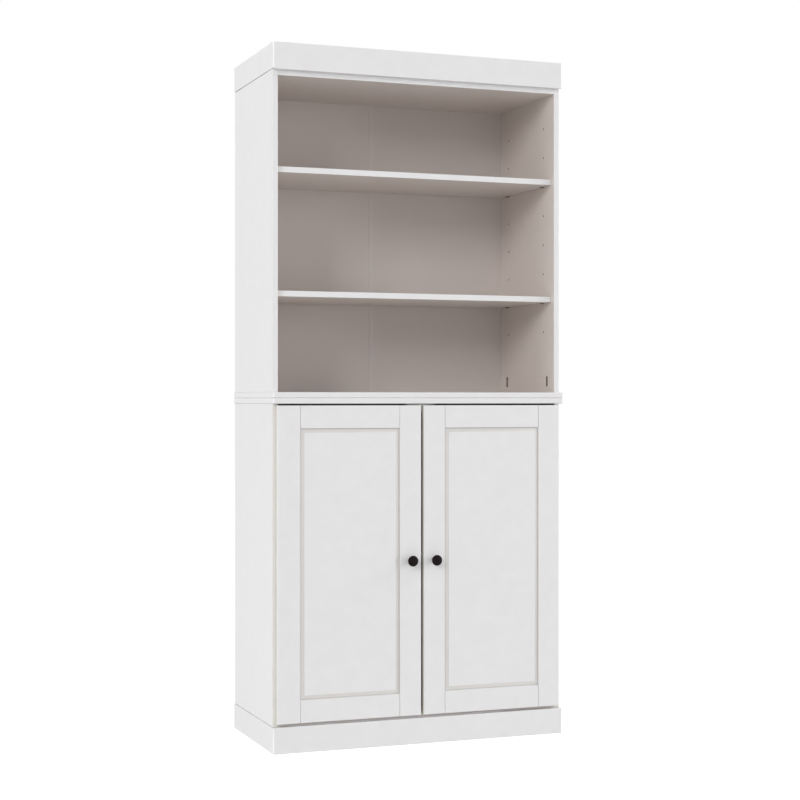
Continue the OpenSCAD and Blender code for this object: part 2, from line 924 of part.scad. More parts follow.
// Section across a panel in a frame that is open over width: x from the frame's edge, y from the door's
// face to the back
module panel_section(width, hold) {
    tongue_y = tongue_in + slip;
    bevel_y = field_in + field_step;
    polygon([[-hold, tongue_y], [bevel_foot, tongue_y], [bevel_w, bevel_y], [bevel_w, field_in],
             [width - bevel_w, field_in], [width - bevel_w, bevel_y], [width - bevel_foot, tongue_y],
             [width + hold, tongue_y], [width + hold, tongue_y + panel_t], [-hold, tongue_y + panel_t]]);
}

// Panel with a raised field, bevelled towards the frame on all sides
module panel() {
    hold = panel_hold - wood_gap;
    open_w = door_w - 2 * stile_w;
    open_h = frame_z1 - frame_z0;
    intersection() {
        translate([stile_w, door_front, frame_z0 - hold])
            linear_extrude(open_h + 2 * hold) panel_section(open_w, hold);
        translate([stile_w - hold, door_front, frame_z1])
            rotate([0, 90, 0]) linear_extrude(open_w + 2 * hold) panel_section(open_h, hold);
    }
}

// Outline of a knob: x from its axis, y from the door's face outwards
module knob_section() {
    neck = knob_neck_d / 2;
    rim = knob_d / 2;
    dome = knob_l - knob_rim_y;
    flare = knob_rim_y - knob_lip_t - knob_flare_y;
    polygon(concat(
        [[0, 0], [neck + knob_foot, 0], [neck + knob_foot, knob_foot], [neck, 2 * knob_foot]],
        [for (a = [0 : 10 : 90])
            [neck + (rim - knob_lip - neck) * (1 - cos(a)), knob_flare_y + flare * sin(a)]],
        [for (a = [0 : 10 : 90])
            [(rim - knob_edge) * cos(a) + knob_edge * (1 - a / 90), knob_rim_y + dome * sin(a)]]));
}

module knob() {
    knob_place() translate([0, door_front, 0]) rotate([90, 0, 0]) difference() {
        rotate_extrude() knob_section();
        translate([0, 0, -cut]) cylinder(r = knob_screw_r + screw_gap, h = cut + knob_thread + hole_end);
    }
}

module knob_screw() {
    knob_place() {
        rod_y(knob_screw_r, door_front - knob_thread, door_back);
        rod_y(knob_head_r, door_back, door_back + knob_head_t);
    }
}

module strike_plate() {
    difference() {
        block(strike_x - strike_w / 2, strike_x + strike_w / 2, door_back, door_back + strike_t,
              catch_z - strike_down, catch_z + strike_up);
        strike_screw() small_hole();
    }
}

module door_screws() {
    door_hinge_places() cup_screws() small_screw();
    strike_screw() small_screw();
}

module left_hinge_stile() { color(white) on_left() hinge_stile(); }
module left_meeting_stile() { color(white) on_left() meeting_stile(); }
module left_top_rail() { color(white) on_left() top_rail(); }
module left_bottom_rail() { color(white) on_left() bottom_rail(); }
module left_panel() { color(white) on_left() panel(); }
module left_knob() { color(black) on_left() knob(); }
module left_knob_screw() { color(steel) on_left() knob_screw(); }
module left_door_screws() { color(steel) on_left() door_screws(); }
module left_strike_plate() { color(steel) on_left() strike_plate(); }
module right_hinge_stile() { color(white) on_right() hinge_stile(); }
module right_meeting_stile() { color(white) on_right() meeting_stile(); }
module right_top_rail() { color(white) on_right() top_rail(); }
module right_bottom_rail() { color(white) on_right() bottom_rail(); }
module right_panel() { color(white) on_right() panel(); }
module right_knob() { color(black) on_right() knob(); }
module right_knob_screw() { color(steel) on_right() knob_screw(); }
module right_door_screws() { color(steel) on_right() door_screws(); }
module right_strike_plate() { color(steel) on_right() strike_plate(); }

plinth_front();
plinth_left_return();
plinth_right_return();
plinth_back_rail();
crown_front();
crown_left_return();
crown_right_return();
crown_back_rail();
corner_blocks();
base_left_side();
base_right_side();
base_bottom_board();
base_top_board();
base_shelf();
base_back_left();
base_back_right();
base_back_joiner();
hutch_left_side();
hutch_right_side();
hutch_bottom_board();
hutch_top_board();
lower_hutch_shelf();
upper_hutch_shelf();
hutch_back_left();
hutch_back_right();
hutch_back_joiner();
shelf_pins();
case_screws();
stacking_screws();
back_nails();
hardware_screws();
wall_bracket();
magnetic_catch();
catch_magnets();
door_bumpers();
left_hinge_arms();
right_hinge_arms();
hinge_plates();
left_hinge_stile();
left_meeting_stile();
left_top_rail();
left_bottom_rail();
left_panel();
left_knob();
left_knob_screw();
left_hinge_cups();
left_hinge_pins();
left_door_screws();
left_strike_plate();
right_hinge_stile();
right_meeting_stile();
right_top_rail();
right_bottom_rail();
right_panel();
right_knob();
right_knob_screw();
right_hinge_cups();
right_hinge_pins();
right_door_screws();
right_strike_plate();
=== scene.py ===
"""White two-piece bookcase, an open hutch on a two-door cupboard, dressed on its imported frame."""
import json
import math

import bmesh
import bpy
from bpy.props import FloatProperty, FloatVectorProperty, PointerProperty
from mathutils import Matrix, Vector


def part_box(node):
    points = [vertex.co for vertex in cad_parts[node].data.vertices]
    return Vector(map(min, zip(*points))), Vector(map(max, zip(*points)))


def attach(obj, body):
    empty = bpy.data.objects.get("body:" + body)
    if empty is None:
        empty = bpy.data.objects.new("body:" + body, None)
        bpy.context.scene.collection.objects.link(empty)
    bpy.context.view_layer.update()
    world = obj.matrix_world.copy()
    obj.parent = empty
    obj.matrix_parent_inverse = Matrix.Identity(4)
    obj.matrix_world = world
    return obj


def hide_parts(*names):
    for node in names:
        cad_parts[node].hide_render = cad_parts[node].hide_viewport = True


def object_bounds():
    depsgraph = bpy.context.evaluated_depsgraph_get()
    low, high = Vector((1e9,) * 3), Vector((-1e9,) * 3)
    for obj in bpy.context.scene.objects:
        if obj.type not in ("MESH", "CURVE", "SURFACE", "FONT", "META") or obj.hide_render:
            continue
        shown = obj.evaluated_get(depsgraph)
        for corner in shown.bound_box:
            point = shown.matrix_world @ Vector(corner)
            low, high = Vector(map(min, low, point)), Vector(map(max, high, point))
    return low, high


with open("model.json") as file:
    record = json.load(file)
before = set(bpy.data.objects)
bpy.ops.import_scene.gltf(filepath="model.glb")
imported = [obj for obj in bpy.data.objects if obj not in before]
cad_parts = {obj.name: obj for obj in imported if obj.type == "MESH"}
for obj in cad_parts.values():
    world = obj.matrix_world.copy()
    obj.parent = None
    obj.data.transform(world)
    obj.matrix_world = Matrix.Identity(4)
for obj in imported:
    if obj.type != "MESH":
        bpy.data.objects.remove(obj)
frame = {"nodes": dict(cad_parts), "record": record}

bl_info = {
    "name": "White two-piece bookcase",
    "version": (1, 0, 0),
    "blender": (4, 5, 0),
    "location": "3D View > Sidebar > Bookcase",
    "description": "Dresses the bookcase's frame with eased boards, doors, knobs, hinges and screws",
    "category": "Object",
}

MM = 0.001
WELD = 0.01 * MM  # points closer than this are one
FLAT = math.radians(1)  # faces that turn less than this are one flat face
SHARP = math.radians(40)  # an edge that turns more than this is an arris
HOLE_DEPTH = 2.2 * MM  # a face deeper than this in its board's box is a hole's or a pocket's
POCKET_SPAN = 8 * MM  # such a face that is longer than this is a pocket's
PAPER = 0.1 * MM  # thickness of the backs' paper
PAINTED_SHADE_DEPTHS = (3.7 * MM, 4.15 * MM)  # painted shade: the bevels turn darker between these depths, behind the face of the doors

RECORD = frame["record"]
CAD_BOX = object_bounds()
MIDDLE = (CAD_BOX[0] + CAD_BOX[1]) / 2
BODY_OF = {node: body for body, nodes in RECORD["behaviour"]["bodies"].items() for node in nodes}
SIDES = ("left", "right")
DOOR_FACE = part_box("left_top_rail")[0].y
BACK_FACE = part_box("hutch_back_left")[0].y
GRAIN_OF = {"hinge_stile": "Z", "meeting_stile": "Z", "top_rail": "X", "bottom_rail": "X"}  # in a door
BOARD_FINISHES = ("lacquer", "painted_inner_shade", "pocket", "rubbed", "edge", "bore")
PAINTED_INNER_SHADE, POCKET, PAINTED_HIGHLIGHT, PAINTED_GAP_TINT, BORE = range(1, len(BOARD_FINISHES))  # their slots on a board
LIGHTS = {"left": (-90, 0), "key": (-45, 20), "fill": (55, 2), "right": (80, 26)}  # degrees round and up
AIM = Vector((MIDDLE.x + 4 * MM, 0, MIDDLE.z - 2.4 * MM))  # what the camera looks at


# ---------------------------------------------------------------- what a user can change


def linear(code):
    """An sRGB hex colour as linear red, green, blue and alpha."""
    parts = [int(code[i : i + 2], 16) / 255 for i in (1, 3, 5)]
    return [p / 12.92 if p <= 0.04045 else ((p + 0.055) / 1.055) ** 2.4 for p in parts] + [1.0]


def length(name, description, millimetres):
    """A small length that a user can change."""
    return FloatProperty(
        name=name,
        description=description,
        default=millimetres * MM,
        min=0.05 * MM,
        max=10 * MM,
        precision=5,
        unit="LENGTH",
        subtype="DISTANCE",
    )


def colour(name, description, code):
    """A colour that a user can change."""
    return FloatVectorProperty(
        name=name, description=description, default=linear(code), size=4, min=0, max=1, subtype="COLOR"
    )


def power(name, description, watts):
    """The power of a light that a user can change."""
    return FloatProperty(name=name, description=description, default=watts, min=0, subtype="POWER")


class BOOKCASE_PG_sizes(bpy.types.PropertyGroup):
    """Roundings that the makers' tools and sandpaper leave"""

    board_arris: length("Board arris", "Rounding of the edges of the boards", 1.2)
    waist_arris: length("Waist arris", "Rounding of the edges of the two boards at the waist", 2.0)
    shelf_arris: length("Shelf arris", "Rounding of the edges of the shelves", 0.8)
    corner: length("Frame corner", "Rounding of the crown's and plinth's mitred corners", 2.6)
    crown_seam: length("Crown seam", "Open joint under the crown's returns", 0.9)
    plinth_seam: length("Plinth seam", "Open joint over the plinth's returns", 0.6)
    door_arris: length("Door arris", "Rounding of the edges of the door frames", 0.7)
    door_joint: length("Door joint", "Open joint between a door's rails and stiles", 0.9)
    field: length("Field", "Rounding of the edge of a panel's raised field", 0.4)
    steel_arris: length("Steel arris", "Rounding of the edges of pressed steel", 0.25)
    plastic_arris: length("Plastic arris", "Rounding of the edges of moulded plastic", 0.6)
    spoon: length("Spoon corner", "Rounding of the corners of a shelf pin's tongue", 3.0)


class BOOKCASE_PG_colours(bpy.types.PropertyGroup):
    """Colours of the finishes"""

    paint: colour("Paint", "White of the painted boards and doors", "#e7e6e6")
    # painted highlight: a lighter tone on the rounded corners of crown, plinth and waist, standing in for
    # the light they catch
    rubbed: colour("Rubbed corner", "Lighter painted_highlight_tone on the corners of crown, plinth and waist", "#f8f7f6")
    # painted shade: a darker, warmer tone on the faces inside the case, where shade falls
    painted_inner_shade: colour("Painted_shade_inside", "Warmer white of the boards' inner faces", "#dcd4ce")
    # painted shade: a warmer tint on faces in the gaps round the doors, for the tone of their shade
    edge: colour("Edge", "Warmer white of the case's front edges and the doors' meeting edges", "#e8e6dd")
    # painted shade: a darker tone on the bevels of the door panels
    glaze: colour("Glaze", "Thin glaze left on the bevels of the door panels", "#dcd9d5")
    back: colour("Back", "Greige paper face of the back panels", "#d5cdc9")
    # raw wood, in a darker tone that is partly painted shade in the pockets
    pocket: colour("Pocket", "Raw wood in the screw pockets", "#96826b")
    # raw wood, made near black as painted shade in the holes
    bore: colour("Bore", "Raw wood in the shelf pins' holes, darkened by the painted_hole_shade", "#524638")
    fibre: colour("Fibre", "Raw brown of the back panels behind", "#8a6a4c")
    strip: colour("Strip", "Strips that join the back panels", "#d7cfcb")
    pine: colour("Pine", "Bare wood of the corner blocks", "#d9bd8f")
    plastic: colour("Plastic", "White of the catch", "#e2e0dc")
    knob: colour("Knob", "Black of the knobs", "#1f1718")
    pin: colour("Shelf pin", "Dark bronze of the shelf pins", "#81766b")
    zinc: colour("Zinc", "Zinc plating of the screws, bracket and strike plates", "#b9bbbe")
    nickel: colour("Nickel", "Nickel plating of the hinges", "#bfbab2")
    magnet: colour("Magnet", "Sintered grey of the catch's magnets", "#3a3a3c")
    rubber: colour("Rubber", "Clear soft plastic of the door bumpers", "#d9d9d4")


class BOOKCASE_PG_stage(bpy.types.PropertyGroup):
    """Camera, light and floor"""

    distance: FloatProperty(
        name="Distance",
        description="From the camera to the middle of the bookcase",
        default=4.673,
        min=1,
        max=20,
        unit="LENGTH",
        subtype="DISTANCE",
    )
    turn: FloatProperty(
        name="Turn",
        description="How far the camera stands round to the left",
        default=math.radians(20.6),
        unit="ROTATION",
        subtype="ANGLE",
    )
    lens: FloatProperty(name="Lens", description="Focal length", default=76.6, min=20, unit="CAMERA")
    shift: FloatProperty(name="Shift", description="Lens shift as a share of the width", default=-0.0014)
    left: power("Left light", "Power of the soft light at the left", 355)
    key: power("Key light", "Power of the soft light at the front left", 442)
    fill: power("Fill light", "Power of the soft light at the front right", 280)
    right: power("Right light", "Power of the soft light at the right", 535)
    sky: colour("Sky", "Light of the white dome over the floor", "#c6c7c8")
    floor: colour("Floor", "Pale floor as it lights the bookcase", "#d8d8d8")
    shade: colour("Shown floor", "The part of the shown floor that takes the shadow", "#aaaaaa")
    glow: FloatProperty(name="Floor glow", description="The part that takes none", default=0.775, min=0)


# ---------------------------------------------------------------- shaping


def welded(node):
    """A node's mesh as one closed shell whose flat faces are whole."""
    bm = bmesh.new()
    bm.from_mesh(frame["nodes"][node].data)
    bmesh.ops.remove_doubles(bm, verts=bm.verts, dist=WELD)
    bmesh.ops.dissolve_limit(bm, angle_limit=FLAT, verts=bm.verts, edges=bm.edges)
    bm.normal_update()
    return bm


def slab(low, high):
    """A board from corner to corner."""
    bm = bmesh.new()
    bmesh.ops.create_cube(bm, size=1, matrix=Matrix.LocRotScale((low + high) / 2, None, high - low))
    bm.normal_update()
    return bm


def arrises(bm, shortest=0.0, straight=False):
    """Outward edges that are longer than shortest, or with straight only those that run along an axis."""
    found = []
    for edge in bm.edges:
        run = edge.verts[1].co - edge.verts[0].co
        if not edge.is_convex or run.length <= shortest or edge.calc_face_angle(0) < SHARP:
            continue
        if straight and max(map(abs, run)) < 0.9999 * run.length:
            continue
        found.append(edge)
    return found


def ease(bm, edges, radius, segments=3):
    """Rounds edges over, as sandpaper or a cutter does."""
    bmesh.ops.bevel(
        bm,
        geom=edges,
        offset=radius,
        offset_type="OFFSET",
        affect="EDGES",
        segments=segments,
        profile=0.5,
        material=-1,
    )
    bm.normal_update()


def paint_highlight(bm, slot):
    """Gives the rounded upright corners the finish in slot: a lighter tone, a painted highlight."""
    for face in bm.faces:
        if min(abs(face.normal.x), abs(face.normal.y)) > 0.1 and abs(face.normal.z) < 0.1:
            face.material_index = slot


def split(bm, point, normal, waste=False):
    """Parts the faces along a plane through point, and with waste drops what lies towards normal."""
    everything = [*bm.verts, *bm.edges, *bm.faces]
    return bmesh.ops.bisect_plane(
        bm, geom=everything, dist=WELD, plane_co=point, plane_no=normal, clear_outer=waste
    )


def saw(bm, point, normal):
    """Cuts through point, drops what lies towards normal and closes the cut."""
    cut = split(bm, point, normal, waste=True)
    edges = [item for item in cut["geom_cut"] if isinstance(item, bmesh.types.BMEdge)]
    bmesh.ops.edgeloop_fill(bm, edges=edges)


def turned(profile, steps):
    """A mesh turned round Z from pairs of radius and height."""
    bm = bmesh.new()
    verts = [bm.verts.new((radius, 0, height)) for radius, height in profile]
    edges = [bm.edges.new(pair) for pair in zip(verts, verts[1:])]
    bmesh.ops.spin(
        bm,
        geom=verts + edges,
        cent=(0, 0, 0),
        axis=(0, 0, 1),
        dvec=(0, 0, 0),
        angle=math.tau,
        steps=steps,
        use_merge=True,
    )
    bmesh.ops.remove_doubles(bm, verts=bm.verts, dist=WELD)
    bmesh.ops.recalc_face_normals(bm, faces=bm.faces)
    mesh = bpy.data.meshes.new("turned")
    bm.to_mesh(mesh)
    bm.free()
    return mesh


def arc(centre, radius, start, end, steps):
    """Points of an arc as pairs, from angle start to angle end in degrees. radius may be a pair."""
    wide, tall = radius if isinstance(radius, tuple) else (radius, radius)
    angles = [math.radians(start + (end - start) * i / steps) for i in range(steps + 1)]
    return [(centre[0] + wide * math.cos(a), centre[1] + tall * math.sin(a)) for a in angles]


def put(bm, mesh, place):
    """Adds a copy of mesh to bm at place."""
    copy = mesh.copy()
    copy.transform(place)
    bm.from_mesh(copy)
    bpy.data.meshes.remove(copy)


def put_on_back(bm, mesh, low, high):
    """Adds a turned mesh that stands on the back of a box and points to the front."""
    place = Matrix.Translation(((low.x + high.x) / 2, high.y, (low.z + high.z) / 2))
    put(bm, mesh, place @ Matrix.Rotation(math.radians(90), 4, "X"))


def solids(node):
    """The points of each separate solid of a node."""
    bm = bmesh.new()
    bm.from_mesh(frame["nodes"][node].data)
    bmesh.ops.remove_doubles(bm, verts=bm.verts, dist=WELD)
    found = []
    for start in bm.verts:
        if start.tag:
            continue
        start.tag = True
        group = [start]
        for vert in group:
            for edge in vert.link_edges:
                other = edge.other_vert(vert)
                if not other.tag:
                    other.tag = True
                    group.append(other)
        found.append([vert.co.copy() for vert in group])
    bm.free()
    return found


def box_of(points):
    """Lowest and highest corner of points."""
    low = Vector([min(p[i] for p in points) for i in range(3)])
    high = Vector([max(p[i] for p in points) for i in range(3)])
    return low, high


def make_piece(bm, node, *materials):
    """Turns bm into the piece that stands for a node and rides on its body."""
    name = f"{node}_piece"
    mesh = bpy.data.meshes.new(name)
    bmesh.ops.recalc_face_normals(bm, faces=bm.faces)
    bm.to_mesh(mesh)
    bm.free()
    for material in materials:
        mesh.materials.append(material)
    mesh.shade_smooth()
    mesh.set_sharp_from_angle(angle=SHARP)
    piece = bpy.data.objects.new(name, mesh)
    bpy.context.scene.collection.objects.link(piece)
    normals = piece.modifiers.new("flat_faces_stay_flat", "WEIGHTED_NORMAL")
    normals.keep_sharp = True
    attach(piece, BODY_OF[node])
    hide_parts(node)


def dress(node, material):
    """Gives a node that keeps its own shape its finish."""
    materials = frame["nodes"][node].data.materials
    materials.clear()
    materials.append(material)


# ---------------------------------------------------------------- materials


def add(tree, kind, inputs=None, links=None, **settings):
    """Adds a node with its settings, the values of its inputs and the links into them."""
    node = tree.nodes.new(kind)
    for key, value in settings.items():
        setattr(node, key, value)
    for socket, value in (inputs or {}).items():
        node.inputs[socket].default_value = value
    for socket, source in (links or {}).items():
        tree.links.new(source, node.inputs[socket])
    return node


def blank(name, base, roughness, **values):
    """A material with plain values on its own shader: returns it, its tree, the shader and the place."""
    material = bpy.data.materials.new(name)
    material.use_nodes = True
    material.diffuse_color = base
    tree = material.node_tree
    tree.nodes.clear()
    plain = {"Base Color": base, "Roughness": roughness, **values}
    shader = add(tree, "ShaderNodeBsdfPrincipled", plain)
    add(tree, "ShaderNodeOutputMaterial", links={"Surface": shader.outputs[0]})
    place = add(tree, "ShaderNodeTexCoord").outputs["Object"]
    return material, tree, shader, place


def shaded(base, factor):
    """A colour made darker, or with a factor over 1 lighter."""
    return [c * factor for c in base[:3]] + [1.0]


def two_tones(tree, pattern, first, second):
    """Lets a pattern blend two colours or two other patterns."""
    mix = add(tree, "ShaderNodeMix", links={0: pattern}, data_type="RGBA")
    for socket, tone in ((mix.inputs[6], first), (mix.inputs[7], second)):
        if isinstance(tone, bpy.types.NodeSocket):
            tree.links.new(tone, socket)
        else:
            socket.default_value = tone
    return mix.outputs[2]


def vary(tree, shader, pattern, base, spread):
    """Lets a pattern move the base colour a little to either side."""
    tones = two_tones(tree, pattern, shaded(base, 1 - spread), shaded(base, 1 + spread))
    tree.links.new(tones, shader.inputs["Base Color"])


def rough(tree, shader, pattern, least, most):
    """Lets a pattern move the roughness between two values."""
    spread = add(
        tree,
        "ShaderNodeMapRange",
        {"From Min": 0.3, "From Max": 0.7, "To Min": least, "To Max": most},
        {"Value": pattern},
    )
    tree.links.new(spread.outputs[0], shader.inputs["Roughness"])


def emboss(tree, shader, *layers):
    """Stacks bumps, each a pattern and its height in metres."""
    normal = None
    for pattern, height in layers:
        links = {"Height": pattern}
        if normal:
            links["Normal"] = normal
        normal = add(tree, "ShaderNodeBump", {"Strength": 1.0, "Distance": height}, links).outputs[0]
    tree.links.new(normal, shader.inputs["Normal"])


def lacquer_on_pine(name, base, grain):
    """Lacquer sprayed on planed pine and sanded down: a satin white whose thinner patches, as wide as a
    thumb, show the undercoat's faint rose, with a fine orange peel and the grain just telling along it."""
    material, tree, shader, place = blank(name, base, 0.36, IOR=1.5)
    patch, ring, streak, dimple = 38 * MM, 2.5 * MM, 160 * MM, 1.4 * MM
    cloudy = {"Scale": 1 / patch, "Detail": 5.0, "Roughness": 0.6}
    clouds = add(tree, "ShaderNodeTexNoise", cloudy, {"Vector": place})
    thin = [c * part for c, part in zip(base, (0.978, 0.955, 0.97, 1))]
    thick = [c * part for c, part in zip(base, (1.022, 1.037, 1.027, 1))]
    stretch = [1 / streak if axis == grain else 1 / ring for axis in "XYZ"]
    fibres = add(tree, "ShaderNodeMapping", {"Scale": stretch}, {"Vector": place})
    lines = add(tree, "ShaderNodeTexNoise", {"Scale": 1.0, "Detail": 3.0}, {"Vector": fibres.outputs[0]})
    peel = add(tree, "ShaderNodeTexNoise", {"Scale": 1 / dimple, "Detail": 1.0}, {"Vector": place})
    tree.links.new(two_tones(tree, clouds.outputs[0], thin, thick), shader.inputs["Base Color"])
    rough(tree, shader, clouds.outputs[0], 0.32, 0.4)
    emboss(tree, shader, (lines.outputs[0], 0.05 * MM), (peel.outputs[0], 0.02 * MM))
    return material


def lacquer_with_painted_bevel_shade(name, base, grain):
    """The same lacquer, with painted shade that turns it darker still in the lowest corners of the bevels.
    """
    material = lacquer_on_pine(name, base, grain)
    tree = material.node_tree
    tint = next(node for node in tree.nodes if node.type == "BSDF_PRINCIPLED").inputs["Base Color"]
    place = add(tree, "ShaderNodeTexCoord").outputs["Object"]
    depth = add(tree, "ShaderNodeSeparateXYZ", links={0: place}).outputs["Y"]
    # painted shade: darker towards the foot of the bevels
    shallow, deep = (DOOR_FACE + depth for depth in PAINTED_SHADE_DEPTHS)
    span = {"From Min": shallow, "From Max": deep}
    painted_foot_shade = add(tree, "ShaderNodeMapRange", span, {"Value": depth}).outputs[0]
    tree.links.new(two_tones(tree, painted_foot_shade, tint.links[0].from_socket, shaded(base, 0.82)), tint)
    return material


def paper_faced_hardboard(name, base, fibre):
    """Pressed fibre with a printed greige paper on its face: flatter and duller than the lacquer, with the
    fibres' fine pimples under the paper. Behind and on its edges it is raw, brown and flecked."""
    material, tree, shader, place = blank(name, base, 0.6, IOR=1.45)
    patch, pimple = 110 * MM, 2.2 * MM
    clouds = add(tree, "ShaderNodeTexNoise", {"Scale": 1 / patch, "Detail": 4.0}, {"Vector": place})
    pimples = add(tree, "ShaderNodeTexNoise", {"Scale": 1 / pimple, "Detail": 2.0}, {"Vector": place})
    depth = add(tree, "ShaderNodeSeparateXYZ", links={0: place}).outputs["Y"]
    span = {"From Min": BACK_FACE + PAPER, "From Max": BACK_FACE + 2 * PAPER}
    raw = add(tree, "ShaderNodeMapRange", span, {"Value": depth}).outputs[0]
    paper = two_tones(tree, clouds.outputs[0], shaded(base, 0.975), shaded(base, 1.025))
    flecks = two_tones(tree, pimples.outputs[0], shaded(fibre, 0.6), shaded(fibre, 1.4))
    tree.links.new(two_tones(tree, raw, paper, flecks), shader.inputs["Base Color"])
    rough(tree, shader, clouds.outputs[0], 0.55, 0.66)
    emboss(tree, shader, (pimples.outputs[0], 0.04 * MM))
    return material


def planed_pine(name, base):
    """Bare softwood from the planer: pale yellow-brown, with darker late wood in lines a few millimetres
    apart."""
    material, tree, shader, place = blank(name, base, 0.62, IOR=1.45)
    ring, fibre, streak = 14 * MM, 0.6 * MM, 14 * MM
    rings = add(
        tree,
        "ShaderNodeTexWave",
        {"Scale": 1 / ring, "Distortion": 5.0, "Detail": 3.0, "Detail Scale": 1.5},
        {"Vector": place},
        wave_type="BANDS",
        bands_direction="DIAGONAL",
    )
    stretch = [1 / fibre, 1 / fibre, 1 / streak]
    fibres = add(tree, "ShaderNodeMapping", {"Scale": stretch}, {"Vector": place})
    lines = add(tree, "ShaderNodeTexNoise", {"Scale": 1.0, "Detail": 3.0}, {"Vector": fibres.outputs[0]})
    vary(tree, shader, rings.outputs["Fac"], base, 0.14)
    rough(tree, shader, lines.outputs[0], 0.55, 0.7)
    emboss(tree, shader, (lines.outputs[0], 0.06 * MM))
    return material


def white_plastic(name, base):
    """Extruded or moulded plastic: even, slightly translucent white with a fine matt grain from the tool,
    drawn coarser than it is so that it shows."""
    translucent = {"IOR": 1.52, "Subsurface Weight": 0.1, "Subsurface Scale": 0.5 * MM}
    material, tree, shader, place = blank(name, base, 0.45, **translucent)
    patch, speck = 25 * MM, 0.5 * MM
    grain = add(tree, "ShaderNodeTexNoise", {"Scale": 1 / speck, "Detail": 2.0}, {"Vector": place})
    clouds = add(tree, "ShaderNodeTexNoise", {"Scale": 1 / patch, "Detail": 2.0}, {"Vector": place})
    vary(tree, shader, clouds.outputs[0], base, 0.015)
    rough(tree, shader, clouds.outputs[0], 0.4, 0.5)
    emboss(tree, shader, (grain.outputs[0], 0.01 * MM))
    return material


def black_lacquer_on_zinc(name, base):
    """Die-cast zinc under satin black lacquer: near black and a little warm, with soft highlights and
    faint wear that lightens it in spots."""
    material, tree, shader, place = blank(name, base, 0.4, **{"IOR": 1.5, "Specular IOR Level": 0.05})
    spot, pore = 4 * MM, 0.8 * MM
    wear = add(tree, "ShaderNodeTexNoise", {"Scale": 1 / spot, "Detail": 4.0}, {"Vector": place})
    cast = add(tree, "ShaderNodeTexNoise", {"Scale": 1 / pore, "Detail": 2.0}, {"Vector": place})
    vary(tree, shader, wear.outputs[0], base, 0.25)
    rough(tree, shader, wear.outputs[0], 0.34, 0.48)
    emboss(tree, shader, (cast.outputs[0], 0.015 * MM))
    return material


def plated_steel(name, base, least, most):
    """Steel with a thin electroplated coat: bright metal, clouded by handling, with the rolled or turned
    surface showing as fine lines, drawn coarser than they are so that they show."""
    material, tree, shader, place = blank(name, base, (least + most) / 2, Metallic=1.0)
    patch, line, run = 9 * MM, 0.3 * MM, 8 * MM
    clouds = add(tree, "ShaderNodeTexNoise", {"Scale": 1 / patch, "Detail": 4.0}, {"Vector": place})
    rolled = add(tree, "ShaderNodeMapping", {"Scale": [1 / run, 1 / run, 1 / line]}, {"Vector": place})
    lines = add(tree, "ShaderNodeTexNoise", {"Scale": 1.0, "Detail": 2.0}, {"Vector": rolled.outputs[0]})
    vary(tree, shader, clouds.outputs[0], base, 0.06)
    rough(tree, shader, clouds.outputs[0], least, most)
    emboss(tree, shader, (lines.outputs[0], 0.008 * MM))
    return material


def sintered_ferrite(name, base):
    """Pressed and fired magnet powder: dull dark grey with a gritty face, its grit drawn coarser than it
    is so that it shows."""
    material, tree, shader, place = blank(name, base, 0.6, Metallic=0.4)
    grain = 0.4 * MM
    grit = add(tree, "ShaderNodeTexNoise", {"Scale": 1 / grain, "Detail": 3.0}, {"Vector": place})
    vary(tree, shader, grit.outputs[0], base, 0.15)
    rough(tree, shader, grit.outputs[0], 0.5, 0.7)
    emboss(tree, shader, (grit.outputs[0], 0.02 * MM))
    return material


def cast_polyurethane(name, base):
    """Soft clear dots cast from polyurethane: cloudy, with a gloss like gelatine."""
    material, tree, shader, place = blank(name, base, 0.25, **{"IOR": 1.49, "Transmission Weight": 0.4})
    patch = 2 * MM
    haze = add(tree, "ShaderNodeTexNoise", {"Scale": 1 / patch, "Detail": 2.0}, {"Vector": place})
    vary(tree, shader, haze.outputs[0], base, 0.03)
    rough(tree, shader, haze.outputs[0], 0.2, 0.32)
    return material


def finish_of(context, kind, grain="Z"):
    """The material of a kind, made when it is first asked for."""
    colours = context.scene.bookcase_colours
    on_pine = f"lacquer_on_pine_grain_{grain.lower()}"
    name, maker, *values = {
        "lacquer": (f"sprayed_{on_pine}", lacquer_on_pine, colours.paint[:], grain),
        # painted shade inside the case
        "painted_inner_shade": (f"warm_{on_pine}", lacquer_on_pine, colours.painted_inner_shade[:], grain),
        # painted shade on the bevels of the door panels
        "glaze": (f"glazed_{on_pine}", lacquer_with_painted_bevel_shade, colours.glaze[:], grain),
        # painted highlight on the rounded corners
        "rubbed": (f"rubbed_{on_pine}", lacquer_on_pine, colours.rubbed[:], grain),
        # painted shade tint in the gaps round the doors
        "edge": (f"thin_{on_pine}", lacquer_on_pine, colours.edge[:], grain),
        # raw wood, its darker tone partly painted shade
        "pocket": ("routed_pine", planed_pine, colours.pocket[:]),
        # raw wood darkened as painted shade in the holes
        "bore": ("bored_pine", planed_pine, colours.bore[:]),
        "hardboard": ("paper_faced_hardboard", paper_faced_hardboard, colours.back[:], colours.fibre[:]),
        "strip": ("extruded_plastic_strip", white_plastic, colours.strip[:]),
        "pine": ("planed_pine", planed_pine, colours.pine[:]),
        "plastic": ("moulded_white_plastic", white_plastic, colours.plastic[:]),
        "knob": ("black_lacquer_on_cast_zinc", black_lacquer_on_zinc, colours.knob[:]),
        "bronze": ("bronze_plated_steel", plated_steel, colours.pin[:], 0.35, 0.5),
        "zinc": ("zinc_plated_steel", plated_steel, colours.zinc[:], 0.28, 0.42),
        "nickel": ("nickel_plated_steel", plated_steel, colours.nickel[:], 0.18, 0.3),
        "magnet": ("sintered_ferrite", sintered_ferrite, colours.magnet[:]),
        "rubber": ("cast_polyurethane", cast_polyurethane, colours.rubber[:]),
    }[kind]
    return bpy.data.materials.get(name) or maker(name, *values)


# ---------------------------------------------------------------- pieces


